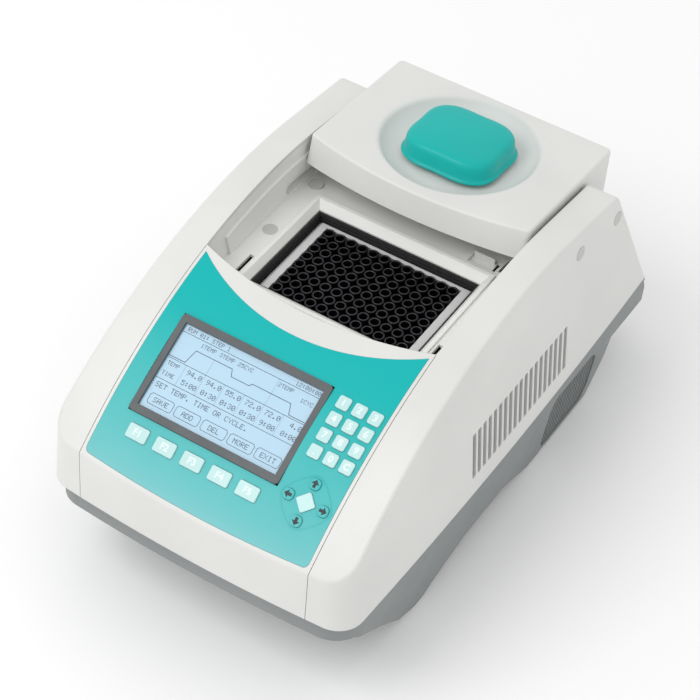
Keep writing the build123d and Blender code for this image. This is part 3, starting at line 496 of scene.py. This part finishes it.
def stroke(x0, y0, x1, y1, width):
    """A straight line of some width, as a rectangle at any angle."""
    dx, dy = x1 - x0, y1 - y0
    length = math.hypot(dx, dy)
    sx, sy = -dy / length * width / 2, dx / length * width / 2
    ex, ey = dx / length * width / 2, dy / length * width / 2
    return [(x0 - ex + sx, y0 - ey + sy), (x0 - ex - sx, y0 - ey - sy),
            (x1 + ex - sx, y1 + ey - sy), (x1 + ex + sx, y1 + ey + sy)]


def path_shapes(corners, width):
    """A polyline as strokes."""
    return [stroke(*corners[i], *corners[i + 1], width) for i in range(len(corners) - 1)]


GLYPHS = {
    "0": ".###. #...# #..## #.#.# ##..# #...# .###.", "1": "..#.. .##.. ..#.. ..#.. ..#.. ..#.. .###.",
    "2": ".###. #...# ....# ..##. .#... #.... #####", "3": ".###. #...# ....# ..##. ....# #...# .###.",
    "4": "...#. ..##. .#.#. #..#. ##### ...#. ...#.", "5": "##### #.... ####. ....# ....# #...# .###.",
    "6": "..##. .#... #.... ####. #...# #...# .###.", "7": "##### ....# ...#. ..#.. .#... .#... .#...",
    "8": ".###. #...# #...# .###. #...# #...# .###.", "9": ".###. #...# #...# .#### ....# ...#. .##..",
    ".": "..... ..... ..... ..... ..... .##.. .##..", ":": "..... .##.. .##.. ..... .##.. .##.. .....",
    "A": ".###. #...# #...# ##### #...# #...# #...#", "C": ".###. #...# #.... #.... #.... #...# .###.",
    "D": "####. #...# #...# #...# #...# #...# ####.", "E": "##### #.... #.... ####. #.... #.... #####",
    "I": ".###. ..#.. ..#.. ..#.. ..#.. ..#.. .###.", "L": "#.... #.... #.... #.... #.... #.... #####",
    "M": "#...# ##.## #.#.# #.#.# #...# #...# #...#", "N": "#...# ##..# #.#.# #..## #...# #...# #...#",
    "O": ".###. #...# #...# #...# #...# #...# .###.", "P": "####. #...# #...# ####. #.... #.... #....",
    "R": "####. #...# #...# ####. #.#.. #..#. #...#", "S": ".#### #.... #.... .###. ....# ....# ####.",
    "T": "##### ..#.. ..#.. ..#.. ..#.. ..#.. ..#..", "U": "#...# #...# #...# #...# #...# #...# .###.",
    "V": "#...# #...# #...# #...# #...# .#.#. ..#..", "X": "#...# #...# .#.#. ..#.. .#.#. #...# #...#",
    "Y": "#...# #...# .#.#. ..#.. ..#.. ..#.. ..#..", "F": "##### #.... #.... ####. #.... #.... #....",
}
GLYPH_COLUMNS = 5


def text_shapes(text, x, y, dot, gap=0.92):
    """Dot-matrix text whose top left corner is at x, y: one small square for each dot."""
    shapes = []
    for index, letter in enumerate(text):
        if letter == " ":
            continue
        left = x + index * dot * (GLYPH_COLUMNS + 1)
        for r, row in enumerate(GLYPHS[letter].split()):
            for c, cell in enumerate(row):
                if cell == "#":
                    x0, y1 = left + c * dot, y - r * dot
                    shapes.append(box_shape(x0, y1 - dot * gap, x0 + dot * gap, y1))
    return shapes


def text_width(text, dot):
    """The width of dot-matrix text."""
    return (len(text) * (GLYPH_COLUMNS + 1) - 1) * dot


# Display: what the screen shows, in millimetres from its middle.
SCREEN_HALF = (53.5, 30.5)
SMALL_DOT, TABLE_DOT = 0.40, 0.50
LINE = 0.35
TABLE_EDGES = [-38.3, -23.1, -7.9, 7.3, 22.5, 37.7]
TABLE_TEMPS = ["94.0", "94.0", "55.0", "72.0", "72.0", "4.0"]
TABLE_TIMES = ["5:00", "0:30", "0:30", "0:30", "9:00", "0:00"]
CURVE = [(-53, 7.2), (-40.5, 7.2), (-37.6, 17.2), (-9.4, 17.2), (-7.2, 12.4), (6.4, 12.4), (8.2, 14.3),
         (37.6, 14.3), (40.2, 7.2), (53, 7.2)]
SOFT_WORDS = ["SAVE", "ADD", "DEL", "MORE", "EXIT"]


def soft_box(x, y, half_w, half_h, cut):
    """A box outline with cut corners."""
    corners = [(x - half_w + cut, y + half_h), (x + half_w - cut, y + half_h), (x + half_w, y + half_h - cut),
               (x + half_w, y - half_h + cut), (x + half_w - cut, y - half_h), (x - half_w + cut, y - half_h),
               (x - half_w, y - half_h + cut), (x - half_w, y + half_h - cut), (x - half_w + cut, y + half_h)]
    return path_shapes(corners, LINE)


def make_display():
    """Header, stepped temperature curve, table, message and soft-key boxes."""
    right = SCREEN_HALF[0] - 1.0
    shapes = text_shapes("RUN 01: STEP 1", -50.5, 29.2, SMALL_DOT)
    shapes += text_shapes("12:00:00", right - text_width("12:00:00", SMALL_DOT), 29.2, SMALL_DOT)
    shapes += text_shapes("1TEMP", -36.6, 23.4, SMALL_DOT)
    shapes += text_shapes("3TEMP 25CYC", -22.0, 23.4, SMALL_DOT)
    shapes += text_shapes("2TEMP", 23.6, 23.4, SMALL_DOT) + text_shapes("1CYC", 42.2, 20.6, SMALL_DOT)
    for y in (25.2, 5.9, -9.2):
        shapes.append(stroke(-SCREEN_HALF[0] + 0.5, y, right, y, LINE))
    shapes += path_shapes(CURVE, 0.45)
    for i, x in enumerate(TABLE_EDGES):
        top = {1: 17.2, 4: 25.2}.get(i, 5.9)
        shapes += [box_shape(x - 0.12, y, x + 0.12, y + 0.7)
                   for y in (-9.2 + 1.3 * k for k in range(int((top + 9.2) / 1.3) + 1))]
        end = (TABLE_EDGES + [54.0])[i + 1]
        for text, y in ((TABLE_TEMPS[i], 3.9), (TABLE_TIMES[i], -3.4)):
            shapes += text_shapes(text, end - 0.9 - text_width(text, TABLE_DOT), y, TABLE_DOT)
    shapes += text_shapes("TEMP", -51.0, 3.9, SMALL_DOT) + text_shapes("TIME", -51.0, -3.4, SMALL_DOT)
    shapes += text_shapes("SET TEMP. TIME OR CYCLE.", -50.5, -11.4, TABLE_DOT)
    for i, word in enumerate(SOFT_WORDS):
        x = -40.4 + 20.8 * i
        shapes += soft_box(x, -23.2, 9.3, 3.7, 1.3)
        shapes += text_shapes(word, x - text_width(word, TABLE_DOT) / 2, -21.5, TABLE_DOT)
    marks("lcd_marks", shapes, SCREEN, "lcd_ink", "display_screen")


# Key legends
LEGEND_LIFT = 0.02
KEY_LEGENDS = {"key_point": ".", "key_clear": "C"}
KEY_LEGENDS.update({"key_%d" % n: str(n) for n in range(10)})
KEY_LEGENDS.update({"soft_key_%d" % n: "F%d" % n for n in range(1, 6)})
ARROW = [(0, 2.9), (2.8, 0), (1.05, 0), (1.05, -2.5), (-1.05, -2.5), (-1.05, 0), (-2.8, 0)]


def text_piece(name, text, size, place, finish, node):
    """A raised printed legend in a plain bold face."""
    curve = bpy.data.curves.new(name, "FONT")
    curve.body = text
    curve.size = size * MM
    curve.align_x = "CENTER"
    curve.align_y = "CENTER"
    curve.offset = 0.16 * MM
    curve.extrude = 0.03 * MM
    curve.resolution_u = 6
    made = bpy.data.objects.new(name, curve)
    bpy.context.scene.collection.objects.link(made)
    bpy.context.view_layer.update()
    data = bpy.data.meshes.new_from_object(made)
    bpy.data.objects.remove(made)
    data.transform(place @ Matrix.Translation((0, 0, LEGEND_LIFT * MM)))
    data.materials.clear()
    data.materials.append(FINISHES[finish])
    solid = bpy.data.objects.new(name, data)
    bpy.context.scene.collection.objects.link(solid)
    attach(solid, body_of(node))


def make_legends():
    """Numbers on the keys and an arrow on each arrow key."""
    for key, text in KEY_LEGENDS.items():
        text_piece(key + "_legend", text, 6.4, key_place(key), "legend_white", key)
    for key, turn in (("key_up", 0), ("key_left", 90), ("key_down", 180), ("key_right", 270)):
        place = key_place(key) @ Matrix.Rotation(math.radians(turn), 4, "Z")
        marks(key + "_arrow", [ARROW], place, "arrow_ink", key)


# Raised ring round the arrow keys: a rounded diamond that lies on the film.
RING_MM = 18.5
RING_POWER = 1.35
RING_PROFILE_MM = [(-0.8, -0.1), (-0.35, 0.25), (0.0, 0.32), (0.35, 0.25), (0.8, -0.1)]
RING_SIDES = 96
KEY_PROUD_MM = 1.25  # the keys' faces stand this far above the film


def make_nav_ring():
    """The raised ring, bent to the panel's arc."""
    place = key_place("key_enter")
    radius = (place.translation - ARC).length / MM
    points = []
    for across, up in RING_PROFILE_MM:
        for i in range(RING_SIDES):
            turn = 2 * math.pi * i / RING_SIDES
            c, s = math.cos(turn), math.sin(turn)
            reach = RING_MM / (abs(c) ** RING_POWER + abs(s) ** RING_POWER) ** (1 / RING_POWER) + across
            x, y = reach * c, reach * s
            points.append((x * MM, y * MM, (up - KEY_PROUD_MM - y * y / (2 * radius)) * MM))
    piece("nav_ring", points, lathe_faces(len(RING_PROFILE_MM), RING_SIDES), place, "film",
          body_of("panel_overlay"), smooth=True)


# Dark sheets of painted shade that stop the view into the machine: behind the side vents and under the deck's
# openings.
VENT_SHEET_MM = [(-54, 82), (79, 82), (79, 132), (-54, 132)]
VENT_SHEET_X_MM = 110.9
VENT_SHEET_LEAN = 0.06
DECK_SHEETS_MM = [(-79, -46, -70, -22), (70, -46, 79, -22), (45, 51, 83, 73)]
DECK_SHEET_Z_MM = 161.7


def make_dark_sheets():
    """Dark sheets of painted shade behind the vents and under the deck's openings."""
    points, faces = [], []
    for side in (-1, 1):
        faces.append(tuple(range(len(points), len(points) + 4)))
        for y, z in VENT_SHEET_MM:
            x = side * (VENT_SHEET_X_MM - (z - 157) * VENT_SHEET_LEAN)
            points.append((x * MM, y * MM, z * MM))
    # painted shade: a black sheet behind each side vent, where the view into the machine falls in shade
    piece("vent_shade_sheets", points, faces, Matrix(), "black_plastic", body_of("upper_casing"))
    points, faces = [], []
    for x0, y0, x1, y1 in DECK_SHEETS_MM:
        faces.append(tuple(range(len(points), len(points) + 4)))
        points += [(x * MM, y * MM, DECK_SHEET_Z_MM * MM) for x, y in box_shape(x0, y0, x1, y1)]
    piece("deck_shades", points, faces, Matrix(), "rubber", body_of("inner_deck"))


# Side grilles: hexagonal holes in a thin sheet, clipped to the opening's outline.
HEX_PITCH_MM = 2.6
HEX_WEB_MM = 0.62
GRILLE_THICK = 0.0009


def hexagon(cx, cy, radius):
    """Corners of a hexagon with a corner at the top."""
    return [(cx + radius * math.sin(math.radians(60 * k)), cy + radius * math.cos(math.radians(60 * k)))
            for k in range(6)]


def hex_sheet(width, height):
    """A flat sheet of hexagonal frames that covers a rectangle from the origin."""
    points, faces = [], []
    outer = HEX_PITCH_MM / math.sqrt(3)
    inner = (HEX_PITCH_MM - HEX_WEB_MM) / math.sqrt(3)
    rows = int(height / (outer * 1.5)) + 2
    columns = int(width / HEX_PITCH_MM) + 2
    for row in range(rows):
        for column in range(columns):
            cx = (column + 0.5 * (row % 2)) * HEX_PITCH_MM
            cy = row * outer * 1.5
            start = len(points)
            points += hexagon(cx, cy, outer) + hexagon(cx, cy, inner)
            for k in range(6):
                n = (k + 1) % 6
                faces.append((start + k, start + n, start + 6 + n, start + 6 + k))
    return points, faces


def convex_outline(node, side):
    """The outline of one side's grille plate, as (y, z) corners in order, in metres."""
    corners = [v.co for v in NODES[node].data.vertices if v.co.x * side > 0]
    flat = sorted({(round(corner.y, 5), round(corner.z, 5)) for corner in corners})

    def half(points):
        chain = []
        for p in points:
            while len(chain) > 1 and cross(chain[-2], chain[-1], p) <= 0:
                chain.pop()
            chain.append(p)
        return chain[:-1]

    def cross(a, b, c):
        return (b[0] - a[0]) * (c[1] - a[1]) - (b[1] - a[1]) * (c[0] - a[0])

    return half(flat) + half(flat[::-1])


def make_grilles():
    """A hex mesh in each side opening, in place of the plain plates."""
    for side, name in ((-1, "left"), (1, "right")):
        outline = convex_outline("side_grilles", side)
        corners = [v.co for v in NODES["side_grilles"].data.vertices if v.co.x * side > 0]
        top = max(corners, key=lambda p: (round(p.z, 4), p.x * side))
        low = min(corners, key=lambda p: (round(p.z, 4), -p.x * side))
        lean = (top.x - low.x) / (top.z - low.z)
        y0, z0 = min(p[0] for p in outline), min(p[1] for p in outline)
        y1, z1 = max(p[0] for p in outline), max(p[1] for p in outline)
        points, faces = hex_sheet((y1 - y0) / MM, (z1 - z0) / MM)
        mesh = bmesh.new()
        made = [mesh.verts.new((0, y0 + x * MM, z0 + y * MM)) for x, y in points]
        for face in faces:
            mesh.faces.new([made[i] for i in face])
        bmesh.ops.remove_doubles(mesh, verts=mesh.verts, dist=1e-6)
        for i, (ay, az) in enumerate(outline):
            by, bz = outline[(i + 1) % len(outline)]
            if math.hypot(by - ay, bz - az) < 1e-5:
                continue
            normal = Vector((0, bz - az, ay - by)).normalized()
            geometry = mesh.verts[:] + mesh.edges[:] + mesh.faces[:]
            bmesh.ops.bisect_plane(mesh, geom=geometry, plane_co=(0, ay, az), plane_no=normal,
                                   clear_outer=True)
        for v in mesh.verts:
            v.co.x = low.x + lean * (v.co.z - low.z) - side * GRILLE_THICK * 0.2
        data = bpy.data.meshes.new("grille_mesh_" + name)
        mesh.to_mesh(data)
        mesh.free()
        data.materials.append(FINISHES["mesh_grey"])
        grille = bpy.data.objects.new("grille_mesh_" + name, data)
        bpy.context.scene.collection.objects.link(grille)
        solid = grille.modifiers.new("thickness", "SOLIDIFY")
        solid.thickness = GRILLE_THICK
        solid.offset = side
        applied(grille)
        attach(grille, body_of("side_grilles"))
        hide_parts("side_grilles")


# ---------------------------------------------------------------- camera, floor and light

CAMERA_AZIMUTH = 32.08
CAMERA_ELEVATION = 46.15
CAMERA_ROLL = 1.70
CAMERA_LENS = 116.7
CAMERA_DISTANCE = 1.5174
CAMERA_AIM = (0.00975, 0.04102)


def make_camera():
    """The photographer's view, set out from the middle of the block's top."""
    az, el, roll = (math.radians(a) for a in (CAMERA_AZIMUTH, CAMERA_ELEVATION, CAMERA_ROLL))
    back = Vector((math.sin(az) * math.cos(el), -math.cos(az) * math.cos(el), math.sin(el)))
    level = Vector((math.cos(az), math.sin(az), 0))
    rise = back.cross(level)
    right = level * math.cos(roll) + rise * math.sin(roll)
    up = back.cross(right)
    low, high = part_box("sample_block")
    aim = Vector(((low.x + high.x) / 2, (low.y + high.y) / 2, high.z))
    data = bpy.data.cameras.new("camera")
    data.lens = CAMERA_LENS
    data.clip_start = 0.01
    camera = bpy.data.objects.new("camera", data)
    place = Matrix((right, up, back)).transposed().to_4x4()
    place.translation = aim - right * CAMERA_AIM[0] - up * CAMERA_AIM[1] + back * CAMERA_DISTANCE
    camera.matrix_world = place
    bpy.context.scene.collection.objects.link(camera)
    bpy.context.scene.camera = camera


def make_floor():
    """A plain pale floor."""
    data = bpy.data.meshes.new("floor")
    data.from_pydata([(-6, -6, 0), (6, -6, 0), (6, 6, 0), (-6, 6, 0)], [], [(0, 1, 2, 3)])
    material, tree, shader = node_material("floor")
    shade = mixed(tree, noise(tree, object_space(tree), 3, 2), (0.95, 0.95, 0.95), (0.97, 0.97, 0.97))
    tree.links.new(shade, shader.inputs["Base Color"])
    shader.inputs["Roughness"].default_value = 0.7
    data.materials.append(material)
    floor = bpy.data.objects.new("floor", data)
    bpy.context.scene.collection.objects.link(floor)


def area_light(name, place, target, size, power):
    """A square soft light that looks at a target."""
    data = bpy.data.lights.new(name, "AREA")
    data.size = size
    data.energy = power
    light = bpy.data.objects.new(name, data)
    light.matrix_world = facing(place, Vector(place) - Vector(target))
    bpy.context.scene.collection.objects.link(light)


def make_light():
    """Even white surroundings with a large soft light above the front."""
    world = bpy.data.worlds.new("studio")
    world.use_nodes = True
    background = world.node_tree.nodes["Background"]
    background.inputs["Color"].default_value = (1.0, 1.0, 1.0, 1.0)
    background.inputs["Strength"].default_value = 0.88
    bpy.context.scene.world = world
    aim = (0, 0, 0.12)
    area_light("key_light", (-0.6, -1.0, 1.7), aim, 1.0, 11)
    bpy.context.scene.view_settings.view_transform = "Standard"


make_camera()
finish_nodes()
make_knob()
make_well_rims()
make_display()
make_legends()
make_nav_ring()
make_dark_sheets()
make_grilles()
make_floor()
make_light()
